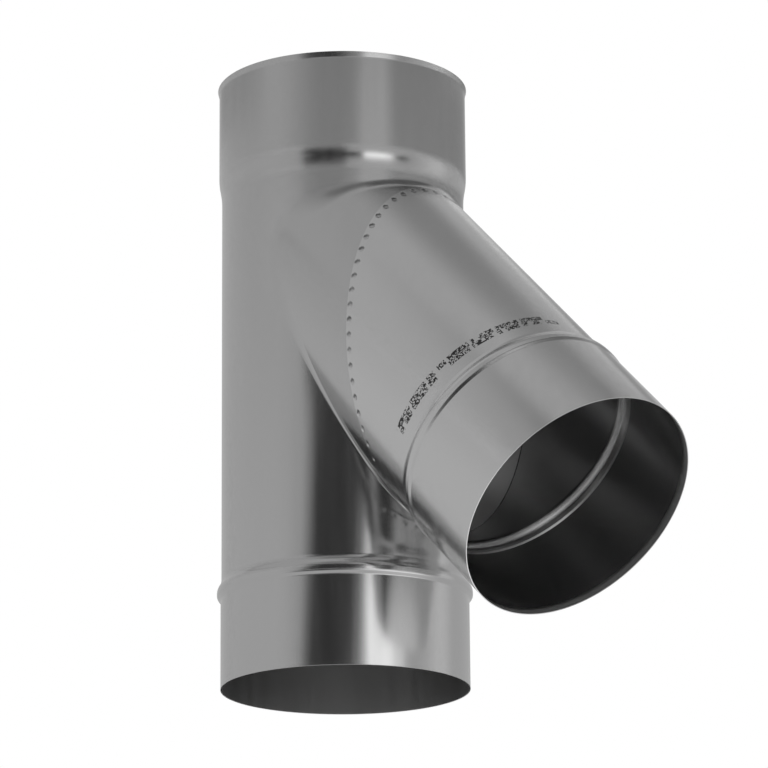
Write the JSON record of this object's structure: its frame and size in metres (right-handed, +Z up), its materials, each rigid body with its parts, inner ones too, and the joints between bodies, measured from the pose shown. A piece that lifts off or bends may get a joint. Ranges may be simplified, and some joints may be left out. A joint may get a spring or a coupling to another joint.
{
  "type": "lateral wye pipe fitting",
  "caption": "Thin sheet steel 45 degree lateral wye for single-wall flue pipe, with an expanded socket, beaded spigots and a spot-welded branch.",
  "frame": {"origin": "centre of the main tube's bottom rim, on the plane it stands on", "axes": "+Z up the main tube towards its socket, and the branch leans down towards +X"},
  "size_m": [0.3241, 0.1554, 0.381],
  "materials": {
    "tube_steel": "bright rolled stainless sheet, lightly satin",
    "branch_steel": "bright rolled stainless sheet, lightly satin, with an ink marking"
  },
  "bodies": {
    "root": {"main_tube": "tube_steel", "branch_tube": "branch_steel"}
  },
  "joints": []
}
